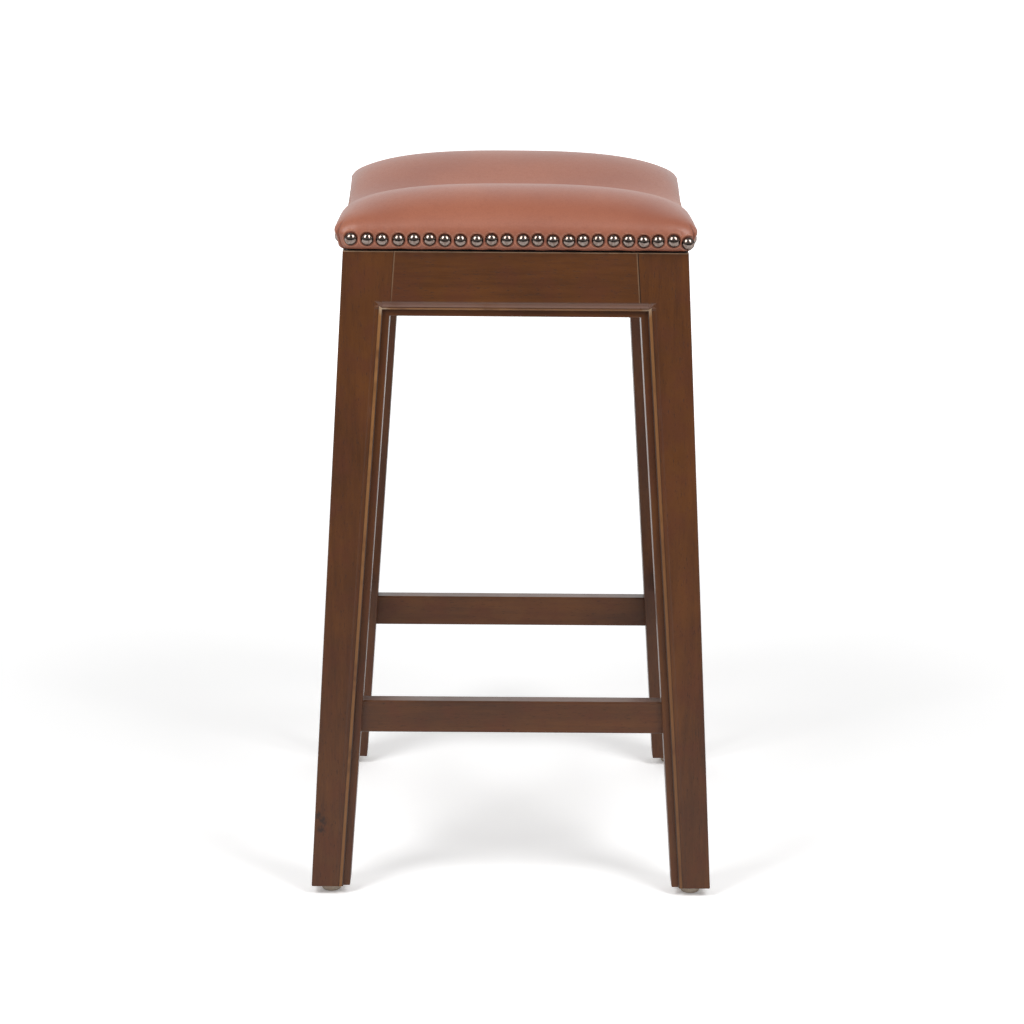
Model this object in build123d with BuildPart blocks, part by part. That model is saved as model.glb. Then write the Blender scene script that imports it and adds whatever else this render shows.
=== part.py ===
from build123d import *
import math
import os

# Saddle counter stool, in millimetres. X is across the short way (the sitter faces -X), Y runs along
# the seat from its left end to its right end, Z is up, and the origin is on the floor in the middle.

# Frame
floor_width = 376.0
floor_length = 457.5
top_width = 316.5
top_length = 380.5
frame_height = 605.5

# Legs
leg_floor_size = 36.0
leg_top_size = 47.0
leg_edge_radius = 1.6
joint_edge_radius = 0.8
top_edge_radius = 0.5
foot_edge_radius = 0.7

# Moulding cut along the inner edges of the legs and the lower edges of the aprons
band_width = 6.4
band_depth = 4.8
band_edge_radius = 1.2
bead_width = 2.6
bead_depth = 2.2
hollow_width = 5.4
hollow_depth = 0.9

# Aprons and stretchers
apron_height = 60.0
apron_thickness = 20.0
stretcher_height = 30.5
stretcher_thickness = 17.5
stretcher_edge_radius = 1.5
end_stretcher_bottom = 153.5
side_stretcher_bottom = 192.0

# Dowels
dowel_diameter = 8.0
apron_dowel_length = 36.0
apron_dowel_spacing = 24.0
stretcher_dowel_length = 28.0
stretcher_dowel_spacing = 14.0
glue_gap = 0.1

# Corner blocks and screws
block_width = 24.0
block_height = 34.0
block_leg_clearance = 3.0
block_top_clearance = 1.6
block_screw_diameter = 3.6
block_screw_bite = 12.0
seat_screw_diameter = 4.6
seat_screw_bite = 9.0
screw_head_diameter = 8.0
screw_head_height = 2.6
screw_clearance = 0.2

# Glides
glide_height = 8.0
glide_diameter = 18.0
glide_rim_radius = 2.4
glide_recess_diameter = 7.0
glide_recess_depth = 2.0
glide_nail_diameter = 2.4
glide_nail_head_diameter = 6.0
glide_nail_head_height = 1.2
glide_nail_length = 24.0

# Seat: the leather's outer form. The shares say where along a curve each of its points lies.
seat_side_overhang = 6.25
seat_end_overhang = 5.75
seat_waist = 3.5
seat_corner_radius = 12.0
seat_crest_height = 53.2
seat_end_roll = 66.0
seat_dip = 26.0
seat_bulge_height = 14.2
seat_tuck = 8.0
tuck_shares = (0.32, 0.40)
crown_power = 2.5
crown_shares = (1, 0.975, 0.93, 0.87, 0.8, 0.66, 0.5)
end_cap_share = 0.99
end_turn_shares = (1, 0.97, 0.9, 0.78, 0.62, 0.42, 0.2, 0)
saddle_shares = (0.8, 0.6, 0.4, 0.2)

# Seat: what lies inside and under the leather
leather_thickness = 1.2
leather_return = 30.0
soft_gap = 0.3
board_thickness = 14.0
board_inset = 11.0
board_chamfer = 4.0
board_corner_radius = 8.0
dust_cover_thickness = 0.8
dust_cover_inset = 1.5

# Staples through the dust cover and the leather into the board
staple_wire = 0.9
staple_crown = 10.0
staple_length = 7.0
staple_inset = 1.5
staple_free_spacings = 2
end_staple_count = 5
side_staple_count = 7

# Domed nails
nail_head_diameter = 11.0
nail_head_height = 3.4
nail_shank_diameter = 2.0
nail_shank_length = 18.0
nail_row_height = 10.5
nail_wander = 0.45
end_nail_count = 23
end_nail_margin = 10.75
end_nail_shift = 6.2
end_nail_bow = 2.95
corner_nail_drop = 1.6
side_nail_count = 26
side_nail_margin = 21.0

overrun = 1.0
left, front = Vector(0, -1, 0), Vector(-1, 0, 0)
up = Vector(0, 0, 1)

apron_bottom = frame_height - apron_height
moulding_width = band_width + bead_width + hollow_width
moulding_depth = band_depth + band_edge_radius
seat_width = top_width + 2 * seat_side_overhang
seat_length = top_length + 2 * seat_end_overhang
seat_crest_place = seat_length / 2 - seat_end_roll
seat_bottom = frame_height + dust_cover_thickness
board_bottom = seat_bottom + leather_thickness
board_top = board_bottom + board_thickness

os.makedirs("parts", exist_ok=True)


# Faces and lines that the splayed frame follows

def taper(z, floor_size, top_size):
    """A size at height z, which runs straight from the floor to the top of the frame."""
    return floor_size + (top_size - floor_size) * z / frame_height


def half_width(z):
    return taper(z, floor_width, top_width) / 2


def half_length(z):
    return taper(z, floor_length, top_length) / 2


def leg_size(z):
    return taper(z, leg_floor_size, leg_top_size)


def apron_size(z):
    return apron_thickness


def face_plane(outward, half_size, inset):
    """Plane of a splayed face, its normal out of the stool, inset from the frame's outer face."""
    foot = half_size(0) - inset(0)
    rise = outward * (half_size(frame_height) - inset(frame_height) - foot) + up * frame_height
    level = up.cross(outward)
    return Plane(origin=outward * foot, x_dir=level, z_dir=level.cross(rise))


def section_plane(outward, half_size, z):
    """Plane across a splayed outer face at height z: x runs up the face, y into the wood."""
    rise = outward * (half_size(frame_height) - half_size(0)) + up * frame_height
    return Plane(origin=outward * half_size(z) + up * z, x_dir=rise, z_dir=outward.cross(up))


def moulding_face(plane, beyond):
    """What the moulding takes away: x runs from the opening's edge into the face, y into the wood."""
    bead_end = band_width + bead_width
    deep = moulding_depth + overrun
    bend = 1 - math.sqrt(0.5)
    edge_bend = band_edge_radius * bend
    with BuildSketch(plane) as face:
        with BuildLine():
            Polyline(
                (moulding_width, 0),
                (moulding_width, -overrun),
                (-beyond, -overrun),
                (-beyond, deep),
                (0, deep),
                (0, moulding_depth),
            )
            ThreePointArc(
                (0, moulding_depth),
                (edge_bend, band_depth + edge_bend),
                (band_edge_radius, band_depth),
            )
            Polyline((band_edge_radius, band_depth), (band_width, band_depth), (band_width, bead_depth))
            ThreePointArc(
                (band_width, bead_depth),
                (band_width + bead_width * bend, bead_depth * bend),
                (bead_end, 0),
            )
            ThreePointArc((bead_end, 0), (bead_end + hollow_width / 2, hollow_depth), (moulding_width, 0))
        make_face()
    return face.sketch


# Dowels of one corner, at the front of the left end

apron_dowel_middle = (apron_bottom + moulding_width + frame_height) / 2


def place_pin(point, outward, length, diameter):
    """A round pin centred on the point, along X or Y."""
    turn = (0, 90, 0) if outward == front else (90, 0, 0)
    with Locations(point):
        Cylinder(diameter / 2, length, rotation=turn)


def place_dowels(middle, spacing, depth, length, diameter):
    """Two dowels at each of a corner's two joints; depth(z) is how far inside the outer face they lie."""
    for z in (middle(left) - spacing / 2, middle(left) + spacing / 2):
        joint = Vector(-(half_width(z) - leg_size(z)), -(half_length(z) - depth(z)), z)
        place_pin(joint, front, length, diameter)
    for z in (middle(front) - spacing / 2, middle(front) + spacing / 2):
        joint = Vector(-(half_width(z) - depth(z)), -(half_length(z) - leg_size(z)), z)
        place_pin(joint, left, length, diameter)


def apron_dowels_at(gap):
    place_dowels(
        lambda side: apron_dowel_middle,
        apron_dowel_spacing,
        lambda z: apron_thickness / 2,
        apron_dowel_length + 2 * gap,
        dowel_diameter + 2 * gap,
    )


def stretcher_dowels_at(gap):
    place_dowels(
        lambda side: (end_stretcher_bottom if side == left else side_stretcher_bottom) + stretcher_height / 2,
        stretcher_dowel_spacing,
        lambda z: leg_size(z) / 2,
        stretcher_dowel_length + 2 * gap,
        dowel_diameter + 2 * gap,
    )


with BuildPart() as dowel_holes:
    apron_dowels_at(glue_gap)
    stretcher_dowels_at(glue_gap)
    mirror(about=Plane.YZ)
    mirror(about=Plane.XZ)

with BuildPart() as apron_dowels:
    apron_dowels_at(0)
    mirror(about=Plane.YZ)
    mirror(about=Plane.XZ)
apron_dowels.part.label = "apron_dowels"
export_step(apron_dowels.part, "parts/apron_dowels.step")

with BuildPart() as stretcher_dowels:
    stretcher_dowels_at(0)
    mirror(about=Plane.YZ)
    mirror(about=Plane.XZ)
stretcher_dowels.part.label = "stretcher_dowels"
export_step(stretcher_dowels.part, "parts/stretcher_dowels.step")


# Glides and their nails

glide_place = Vector(
    -(half_width(glide_height) - leg_size(glide_height) / 2),
    -(half_length(glide_height) - leg_size(glide_height) / 2),
    0,
)

with BuildPart() as glide_nail:
    with Locations(glide_place + up * glide_recess_depth):
        Cylinder(
            glide_nail_head_diameter / 2,
            glide_nail_head_height,
            align=(Align.CENTER, Align.CENTER, Align.MAX),
        )
        Cylinder(
            glide_nail_diameter / 2,
            glide_nail_length,
            align=(Align.CENTER, Align.CENTER, Align.MIN),
        )

with BuildPart() as glide:
    with Locations(glide_place):
        Cylinder(glide_diameter / 2, glide_height, align=(Align.CENTER, Align.CENTER, Align.MIN))
    fillet(glide.faces().sort_by(Axis.Z)[0].edges(), glide_rim_radius)
    with Locations(glide_place):
        Cylinder(
            glide_recess_diameter / 2,
            glide_recess_depth,
            align=(Align.CENTER, Align.CENTER, Align.MIN),
            mode=Mode.SUBTRACT,
        )
    add(glide_nail.part, mode=Mode.SUBTRACT)


# One leg, at the front of the left end

def leg_moulding(outward, along, half_size, across_size):
    """Cutter for one outer face: it follows the leg's inner edge and turns along the apron's."""
    ends = []
    for z in (glide_height - overrun, apron_bottom + moulding_width + overrun):
        edge = outward * half_size(z) + along * (across_size(z) - leg_size(z)) + up * z
        ends.append(moulding_face(Plane(origin=edge, x_dir=along, z_dir=outward.cross(along)), overrun))
    with BuildPart() as cutter:
        loft(ends, ruled=True)
        turn = moulding_face(section_plane(outward, half_size, apron_bottom), frame_height)
        extrude(turn, amount=floor_length, both=True, mode=Mode.INTERSECT)
    return cutter.part


def long_edges(shape):
    """The edges that run along a leg, from the stool's outer corner inwards."""
    along = shape.edges().filter_by(lambda edge: edge.length > frame_height / 2)
    return sorted(along, key=lambda edge: edge.center().X + edge.center().Y)


left_moulding = leg_moulding(left, front, half_length, half_width)
front_moulding = leg_moulding(front, left, half_width, half_length)

with BuildPart() as leg:
    for z in (glide_height, frame_height):
        with BuildSketch(Plane.XY.offset(z)):
            with Locations((-half_width(z), -half_length(z))):
                Rectangle(leg_size(z), leg_size(z), align=(Align.MIN, Align.MIN))
    loft(ruled=True)
    fillet(long_edges(leg)[0], leg_edge_radius)
    fillet(long_edges(leg)[-3:], joint_edge_radius)
    fillet(leg.faces().sort_by(Axis.Z)[-1].edges(), top_edge_radius)
    fillet(leg.faces().sort_by(Axis.Z)[0].edges(), foot_edge_radius)
    add(left_moulding, mode=Mode.SUBTRACT)
    add(front_moulding, mode=Mode.SUBTRACT)
    add(dowel_holes.part, mode=Mode.SUBTRACT)
    add(glide_nail.part, mode=Mode.SUBTRACT)

corners = {
    "front_left": (),
    "back_left": (Plane.YZ,),
    "front_right": (Plane.XZ,),
    "back_right": (Plane.YZ, Plane.XZ),
}
for place, flips in corners.items():
    for name, first in (("leg", leg), ("glide", glide)):
        with BuildPart() as copy:
            add(first.part)
            for flip in flips:
                mirror(about=flip, mode=Mode.REPLACE)
        copy.part.label = f"{place}_{name}"
        export_step(copy.part, f"parts/{place}_{name}.step")

with BuildPart() as glide_nails:
    add(glide_nail.part)
    mirror(about=Plane.YZ)
    mirror(about=Plane.XZ)
glide_nails.part.label = "glide_nails"
export_step(glide_nails.part, "parts/glide_nails.step")


# Corner blocks, one in each corner of the apron frame, glued behind the leg

block_top = frame_height - block_top_clearance
block_middle = block_top - block_height / 2
block_outer = (
    half_width(block_top) + half_length(block_top) - 2 * leg_size(block_top)
    - block_leg_clearance * math.sqrt(2)
)
block_inner = block_outer - block_width * math.sqrt(2)
block_centre = (block_outer + block_inner) / 2


def place_block_screws(gap, head_room):
    """Screws of one corner block: one into each apron, one up into the seat board."""
    head_drop = screw_head_diameter / 2 + screw_head_height
    for outward, half_size in ((front, half_width), (left, half_length)):
        side = left if outward == front else front
        face = half_size(block_middle) - apron_thickness
        seat = face - (block_outer - block_inner) / 2 + head_drop
        axis = side * (block_centre - face) + up * block_middle
        head_length = screw_head_height + head_room
        place_pin(axis + outward * (seat - head_length / 2), outward, head_length, screw_head_diameter + 2 * gap)
        reach = face + block_screw_bite + gap - seat
        place_pin(axis + outward * (seat + reach / 2), outward, reach, block_screw_diameter + 2 * gap)


def place_seat_screw(gap, head_room):
    """The screw that holds the seat at one corner block, driven up from below."""
    along_front = block_centre - half_width(block_middle) + apron_thickness
    along_left = block_centre - half_length(block_middle) + apron_thickness
    spot = front * ((block_centre - along_front) + along_left) / 2
    spot += left * ((block_centre - along_left) + along_front) / 2
    bottom = block_top - block_height
    with Locations(spot + up * bottom):
        Cylinder(
            screw_head_diameter / 2 + gap,
            screw_head_height + head_room,
            align=(Align.CENTER, Align.CENTER, Align.MAX),
        )
        Cylinder(
            seat_screw_diameter / 2 + gap,
            board_bottom + seat_screw_bite + gap - bottom,
            align=(Align.CENTER, Align.CENTER, Align.MIN),
        )


with BuildPart() as block_screw_holes:
    place_block_screws(screw_clearance, screw_head_diameter)
    place_seat_screw(screw_clearance, 0)
    mirror(about=Plane.YZ)
    mirror(about=Plane.XZ)

with BuildPart() as block_screws:
    place_block_screws(0, 0)
    mirror(about=Plane.YZ)
    mirror(about=Plane.XZ)
block_screws.part.label = "corner_block_screws"
export_step(block_screws.part, "parts/corner_block_screws.step")

with BuildPart() as seat_screws:
    place_seat_screw(0, 0)
    mirror(about=Plane.YZ)
    mirror(about=Plane.XZ)
seat_screws.part.label = "seat_screws"
export_step(seat_screws.part, "parts/seat_screws.step")

with BuildPart() as block:
    far_x, far_y = half_width(0), half_length(0)
    with BuildSketch(Plane.XY.offset(block_top)):
        Polygon(
            (-far_x, far_x - block_inner),
            (-far_x, far_x - block_outer),
            (far_y - block_outer, -far_y),
            (far_y - block_inner, -far_y),
            align=None,
        )
    extrude(amount=-block_height)
    split(bisect_by=face_plane(left, half_length, apron_size), keep=Keep.BOTTOM)
    split(bisect_by=face_plane(front, half_width, apron_size), keep=Keep.BOTTOM)
    add(block_screw_holes.part, mode=Mode.SUBTRACT)

for place, flips in corners.items():
    with BuildPart() as copy:
        add(block.part)
        for flip in flips:
            mirror(about=flip, mode=Mode.REPLACE)
    copy.part.label = f"{place}_corner_block"
    export_step(copy.part, f"parts/{place}_corner_block.step")


# Aprons and stretchers, cut to the legs' inner faces and dowelled to them

rails = (
    (left, half_length, half_width, Plane.YZ, Plane.XZ, end_stretcher_bottom, ("left", "right")),
    (front, half_width, half_length, Plane.XZ, Plane.YZ, side_stretcher_bottom, ("front", "back")),
)
for outward, half_size, half_run, across, middle, stretcher_bottom, sides in rails:
    end = front if outward == left else left
    with BuildPart() as apron:
        with BuildSketch(across):
            Polygon(
                (-half_size(frame_height), frame_height),
                (-half_size(apron_bottom), apron_bottom),
                (apron_thickness - half_size(apron_bottom), apron_bottom),
                (apron_thickness - half_size(frame_height), frame_height),
                align=None,
            )
        extrude(amount=floor_length / 2, both=True)
        edge = moulding_face(section_plane(outward, half_size, apron_bottom), overrun)
        extrude(edge, amount=floor_length, both=True, mode=Mode.SUBTRACT)
        top_edges = apron.faces().sort_by(Axis.Z)[-1].edges()
        fillet(top_edges.sort_by(Axis((0, 0, 0), outward))[-1], top_edge_radius)
        for way in (end, -end):
            split(bisect_by=face_plane(way, half_run, leg_size), keep=Keep.BOTTOM)
        add(dowel_holes.part, mode=Mode.SUBTRACT)
        add(block_screw_holes.part, mode=Mode.SUBTRACT)

    stretcher_middle = stretcher_bottom + stretcher_height / 2
    stretcher_line = half_size(stretcher_middle) - leg_size(stretcher_middle) / 2
    with BuildPart() as stretcher:
        with BuildSketch(across):
            with Locations((-stretcher_line, stretcher_middle)):
                RectangleRounded(stretcher_thickness, stretcher_height, stretcher_edge_radius)
        extrude(amount=floor_length / 2, both=True)
        for way in (end, -end):
            split(bisect_by=face_plane(way, half_run, leg_size), keep=Keep.BOTTOM)
        add(dowel_holes.part, mode=Mode.SUBTRACT)

    for name, first in (("apron", apron), ("stretcher", stretcher)):
        first.part.label = f"{sides[0]}_{name}"
        export_step(first.part, f"parts/{sides[0]}_{name}.step")
        with BuildPart() as copy:
            mirror(first.part, about=middle)
        copy.part.label = f"{sides[1]}_{name}"
        export_step(copy.part, f"parts/{sides[1]}_{name}.step")


# Domed nails: the head stands on the leather and the shank goes through the pad into the board

with BuildPart() as nail:
    with BuildSketch(Plane.XZ):
        with BuildLine():
            Polyline(
                (0, nail_head_height),
                (0, -nail_shank_length),
                (nail_shank_diameter / 2, -nail_shank_length),
                (nail_shank_diameter / 2, 0),
                (nail_head_diameter / 2, 0),
            )
            dome_radius = (nail_head_height**2 + nail_head_diameter**2 / 4) / (2 * nail_head_height)
            dome_turn = math.asin(nail_head_diameter / 2 / dome_radius) / 2
            ThreePointArc(
                (nail_head_diameter / 2, 0),
                (
                    dome_radius * math.sin(dome_turn),
                    nail_head_height - dome_radius * (1 - math.cos(dome_turn)),
                ),
                (0, nail_head_height),
            )
        make_face()
    revolve(axis=Axis.Z)


def seat_half_width(y, inset):
    """Half the leather form's width at y: drawn in at the waist and rounded at the corners."""
    wide = seat_width / 2 - inset - seat_waist * math.cos(math.pi * y / seat_length) ** 2
    radius = seat_corner_radius - inset
    over = max(abs(y) - (seat_length / 2 - seat_corner_radius), 0)
    return wide - radius + math.sqrt(max(radius**2 - over**2, 0))


def nail_row(count, length, shift, bow, last_drop, spot):
    """Places one hand-driven row; spot(along) gives a nail's point on the leather and its way out."""
    places = []
    for k in range(count):
        share = 2 * k / (count - 1) - 1
        along = length / 2 * share + shift - bow * share**2 + nail_wander * math.sin(k * k)
        point, outward = spot(along)
        rise = seat_bottom + nail_row_height + nail_wander * math.cos(k * k * k)
        if k == count - 1:
            rise -= last_drop
        places.append(Plane(origin=point + up * rise, x_dir=up, z_dir=outward).location)
    return places


end_nails = nail_row(
    end_nail_count,
    seat_width - 2 * end_nail_margin,
    end_nail_shift,
    end_nail_bow,
    corner_nail_drop,
    lambda along: (left * seat_length / 2 + Vector(along, 0, 0), left),
)
side_nails = nail_row(
    side_nail_count,
    seat_length - 2 * side_nail_margin,
    0,
    0,
    0,
    lambda along: (front * (seat_half_width(along, 0) + soft_gap) + Vector(0, along, 0), front),
)
turned = Location((0, 0, 0), (0, 0, 180))
nail_rows = {
    "left_nails": end_nails,
    "right_nails": [turned * place for place in end_nails],
    "front_nails": side_nails,
    "back_nails": [turned * place for place in side_nails],
}

with BuildPart() as nail_holes:
    for places in nail_rows.values():
        with Locations(places):
            Cylinder(
                nail_shank_diameter / 2,
                nail_shank_length,
                align=(Align.CENTER, Align.CENTER, Align.MAX),
            )
for name, places in nail_rows.items():
    with BuildPart() as row:
        with Locations(places):
            add(nail.part)
    row.part.label = name
    export_step(row.part, f"parts/{name}.step")


# The seat's saddle form: cross sections along the seat, each a flat base, two tucked sides and a crown

def crown_rise(share):
    """How high the crown stands at a share of its half width, as a share of its full height."""
    return (1 - share**crown_power) ** (1 / crown_power)


def seat_form(inset):
    """The solid inside the leather form, inset from it all round."""
    end = seat_length / 2 - inset
    stations = []
    for share in end_turn_shares:
        fall = math.sqrt(1 - (end_cap_share * share) ** 2)
        stations.append((seat_crest_place + (end - seat_crest_place) * share, fall, 0))
    for share in saddle_shares:
        stations.append((seat_crest_place * share, 1, seat_dip * (1 + math.cos(math.pi * share)) / 2))
    stations = stations + [(0, 1, seat_dip)] + [(-y, fall, dip) for y, fall, dip in reversed(stations)]
    base = seat_bottom + inset
    bulge = seat_bottom + seat_bulge_height
    with BuildPart() as form:
        for y, fall, dip in stations:
            wide = seat_half_width(y, inset)
            crown = (seat_crest_height - inset - seat_bulge_height) * fall - dip
            points = [
                (wide - seat_tuck, base),
                (wide - seat_tuck * tuck_shares[0], base + (bulge - base) * tuck_shares[1]),
            ]
            points += [(wide * share, bulge + crown * crown_rise(share)) for share in crown_shares]
            other = [(-x, z) for x, z in points]
            with BuildSketch(Plane.XZ.offset(-y)):
                with BuildLine():
                    Line(other[0], points[0])
                    for k in range(0, len(points) - 1, 2):
                        ThreePointArc(*points[k : k + 3])
                    ThreePointArc(points[-1], (0, bulge + crown), other[-1])
                    for k in range(len(points) - 1, 0, -2):
                        ThreePointArc(*other[k - 2 : k + 1][::-1])
                make_face()
        loft()
    return form.part


with BuildPart() as seat_screw_holes:
    place_seat_screw(screw_clearance, 0)
    mirror(about=Plane.YZ)
    mirror(about=Plane.XZ)

window_width = seat_width - 2 * leather_return
window_length = seat_length - 2 * leather_return
staple_rows = (
    (window_width / 2 + staple_inset, window_length, side_staple_count, 0),
    (window_length / 2 + staple_inset, window_width, end_staple_count, 90),
)
with BuildPart() as staples:
    for line, length, count, turn in staple_rows:
        spacing = length / (count + staple_free_spacings)
        for way in (turn, turn + 180):
            row = Location((0, 0, frame_height), (0, 0, way))
            for k in range(count):
                with Locations(row * Location((line, (k - (count - 1) / 2) * spacing, 0))):
                    Box(
                        staple_wire,
                        staple_crown,
                        staple_wire,
                        align=(Align.CENTER, Align.CENTER, Align.MAX),
                    )
                    with GridLocations(0, staple_crown - staple_wire, 1, 2):
                        Box(
                            staple_wire,
                            staple_wire,
                            staple_length,
                            align=(Align.CENTER, Align.CENTER, Align.MIN),
                        )
staples.part.label = "staples"
export_step(staples.part, "parts/staples.step")

with BuildPart() as board:
    with BuildSketch(Plane.XY.offset(board_bottom)):
        RectangleRounded(seat_width - 2 * board_inset, seat_length - 2 * board_inset, board_corner_radius)
    extrude(amount=board_thickness)
    chamfer(board.faces().sort_by(Axis.Z)[0].edges(), board_chamfer)
    add(nail_holes.part, mode=Mode.SUBTRACT)
    add(seat_screw_holes.part, mode=Mode.SUBTRACT)
    add(staples.part, mode=Mode.SUBTRACT)
board.part.label = "seat_board"
export_step(board.part, "parts/seat_board.step")

with BuildPart() as dust_cover:
    with BuildSketch(Plane.XY.offset(frame_height)):
        Rectangle(top_width - 2 * dust_cover_inset, top_length - 2 * dust_cover_inset)
    extrude(amount=dust_cover_thickness)
    add(seat_screw_holes.part, mode=Mode.SUBTRACT)
    add(staples.part, mode=Mode.SUBTRACT)
dust_cover.part.label = "dust_cover"
export_step(dust_cover.part, "parts/dust_cover.step")

with BuildPart() as foam:
    add(seat_form(leather_thickness + soft_gap))
    with BuildSketch(Plane.XY.offset(board_bottom - overrun)):
        RectangleRounded(
            seat_width - 2 * board_inset + 2 * soft_gap,
            seat_length - 2 * board_inset + 2 * soft_gap,
            board_corner_radius + soft_gap,
        )
    extrude(amount=board_thickness + overrun, mode=Mode.SUBTRACT)
    add(nail_holes.part, mode=Mode.SUBTRACT)
foam.part.label = "foam_pad"
export_step(foam.part, "parts/foam_pad.step")

with BuildPart() as cover:
    add(seat_form(0))
    add(seat_form(leather_thickness), mode=Mode.SUBTRACT)
    with BuildSketch(Plane.XY.offset(seat_bottom - overrun)):
        Rectangle(window_width, window_length)
    extrude(amount=leather_thickness + 2 * overrun, mode=Mode.SUBTRACT)
    add(nail_holes.part, mode=Mode.SUBTRACT)
    add(staples.part, mode=Mode.SUBTRACT)
cover.part.label = "leather_cover"
export_step(cover.part, "parts/leather_cover.step")
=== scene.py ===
import bpy
import numpy as np
from mathutils import Matrix, Vector


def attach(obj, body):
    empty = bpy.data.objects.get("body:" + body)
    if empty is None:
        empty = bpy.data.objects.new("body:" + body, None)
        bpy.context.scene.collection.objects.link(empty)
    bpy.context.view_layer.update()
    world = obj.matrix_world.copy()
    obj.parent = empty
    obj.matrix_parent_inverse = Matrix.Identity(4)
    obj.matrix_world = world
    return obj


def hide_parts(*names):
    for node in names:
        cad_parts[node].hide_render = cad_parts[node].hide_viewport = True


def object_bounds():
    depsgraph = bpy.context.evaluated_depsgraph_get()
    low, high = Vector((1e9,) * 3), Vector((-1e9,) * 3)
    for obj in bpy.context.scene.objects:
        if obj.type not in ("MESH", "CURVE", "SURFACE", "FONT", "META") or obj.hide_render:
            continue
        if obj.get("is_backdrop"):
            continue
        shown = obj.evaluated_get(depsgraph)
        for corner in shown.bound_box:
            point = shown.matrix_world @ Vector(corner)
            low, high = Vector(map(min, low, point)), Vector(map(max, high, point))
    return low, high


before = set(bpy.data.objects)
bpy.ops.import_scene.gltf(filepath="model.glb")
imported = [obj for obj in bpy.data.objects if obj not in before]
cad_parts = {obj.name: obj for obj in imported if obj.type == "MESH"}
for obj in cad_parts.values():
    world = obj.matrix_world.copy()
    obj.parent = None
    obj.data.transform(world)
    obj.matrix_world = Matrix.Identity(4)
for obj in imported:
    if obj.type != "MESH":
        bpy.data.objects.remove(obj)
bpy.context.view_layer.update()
MM = 0.001


# Legs, aprons and stretchers.
# Stained hardwood under a satin lacquer, with a moulding along the opening's edges whose bead is
# rubbed through to pale wood. Sawn, doweled and glued; the shapes are the CAD's own.

FLOOR_WIDTH, FLOOR_LENGTH = 376.0 * MM, 457.5 * MM
TOP_WIDTH, TOP_LENGTH = 316.5 * MM, 380.5 * MM
FRAME_HEIGHT, APRON_HEIGHT = 605.5 * MM, 60.0 * MM
LEG_FLOOR_SIZE, LEG_TOP_SIZE = 36.0 * MM, 47.0 * MM
BAND_WIDTH, BEAD_WIDTH = 6.4 * MM, 2.6 * MM


def paint(red, green, blue):
    """The linear colour whose screen values, from 0 to 255, are these."""
    share = np.array([red, green, blue]) / 255
    linear = np.where(share <= 0.04045, share / 12.92, ((share + 0.055) / 1.055) ** 2.4)
    return tuple(float(c) for c in linear) + (1.0,)


class Flow:
    """An output in a node tree. Arithmetic on it adds Math nodes, and make() adds any other."""

    def __init__(self, tree, socket=None):
        self.tree, self.socket = tree, socket

    def make(self, kind, settings=None, inputs=None, out=0):
        """Adds a node: its settings are set first, then each input gets its value or link."""
        node = self.tree.nodes.new("ShaderNode" + kind)
        for name, value in (settings or {}).items():
            setattr(node, name, value)
        for name, value in (inputs or {}).items():
            if isinstance(value, Flow):
                self.tree.links.new(value.socket, node.inputs[name])
            else:
                node.inputs[name].default_value = value
        return Flow(self.tree, node.outputs[out])

    def math(self, operation, *values):
        return self.make("Math", {"operation": operation}, dict(enumerate(values)))

    def __add__(self, other):
        return self.math("ADD", self, other)

    __radd__ = __add__

    def __mul__(self, other):
        return self.math("MULTIPLY", self, other)

    __rmul__ = __mul__

    def __sub__(self, other):
        return self.math("SUBTRACT", self, other)

    def __rsub__(self, other):
        return self.math("SUBTRACT", other, self)

    def __abs__(self):
        return self.math("ABSOLUTE", self)

    def above(self, other):
        return self.math("MAXIMUM", self, other)

    def step(self, start, end):
        """0 at start, 1 at end, smooth between them; start may be the larger."""
        return self.make(
            "MapRange",
            {"interpolation_type": "SMOOTHSTEP"},
            {"Value": self, "From Min": start, "From Max": end},
        )

    def band(self, start, end, soft):
        """1 between start and end, fading to 0 over soft outside them."""
        return self.step(start - soft, start) * self.step(end + soft, end)

    def mix(self, first, second):
        """The first colour where this is 0, the second where it is 1."""
        return self.make("Mix", {"data_type": "RGBA"}, {0: self, 6: first, 7: second}, out=2)

    def parts(self):
        return [self.make("SeparateXYZ", None, {0: self}, out=k) for k in range(3)]

    def stretched(self, scale, shift=(0.0, 0.0, 0.0)):
        """This vector with each part scaled, for a pattern that is longer one way."""
        return self.make("Mapping", None, {0: self, 1: shift, 3: scale})

    def noise(self, scale, detail=3.0, roughness=0.5, distortion=0.0):
        return self.make("TexNoise", None, {
            "Vector": self, "Scale": scale, "Detail": detail, "Roughness": roughness,
            "Distortion": distortion})

    def cells(self, scale, feature="F1", randomness=1.0):
        return self.make(
            "TexVoronoi", {"feature": feature},
            {"Vector": self, "Scale": scale, "Randomness": randomness}, out="Distance")


def surface(name, constants):
    """A Principled material with constants on the shader's own sockets, and its coordinates."""
    material = bpy.data.materials.new(name)
    material.use_nodes = True
    for socket, value in constants.items():
        material.node_tree.nodes["Principled BSDF"].inputs[socket].default_value = value
    return material, Flow(material.node_tree).make("TexCoord", out="Object")


def feed(material, height, depth, strength, **flows):
    """Links flows to the shader, and a height flow to its normal as a bump of this depth."""
    flows["Normal"] = height.make(
        "Bump", None, {"Height": height, "Distance": depth, "Strength": strength})
    for name, flow in flows.items():
        shader = material.node_tree.nodes["Principled BSDF"]
        material.node_tree.links.new(flow.socket, shader.inputs[name.replace("_", " ")])


def dress(material, *names):
    """Gives CAD nodes this material in place of their own."""
    for name in names:
        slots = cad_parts[name].data.materials
        slots.clear()
        slots.append(material)


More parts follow.
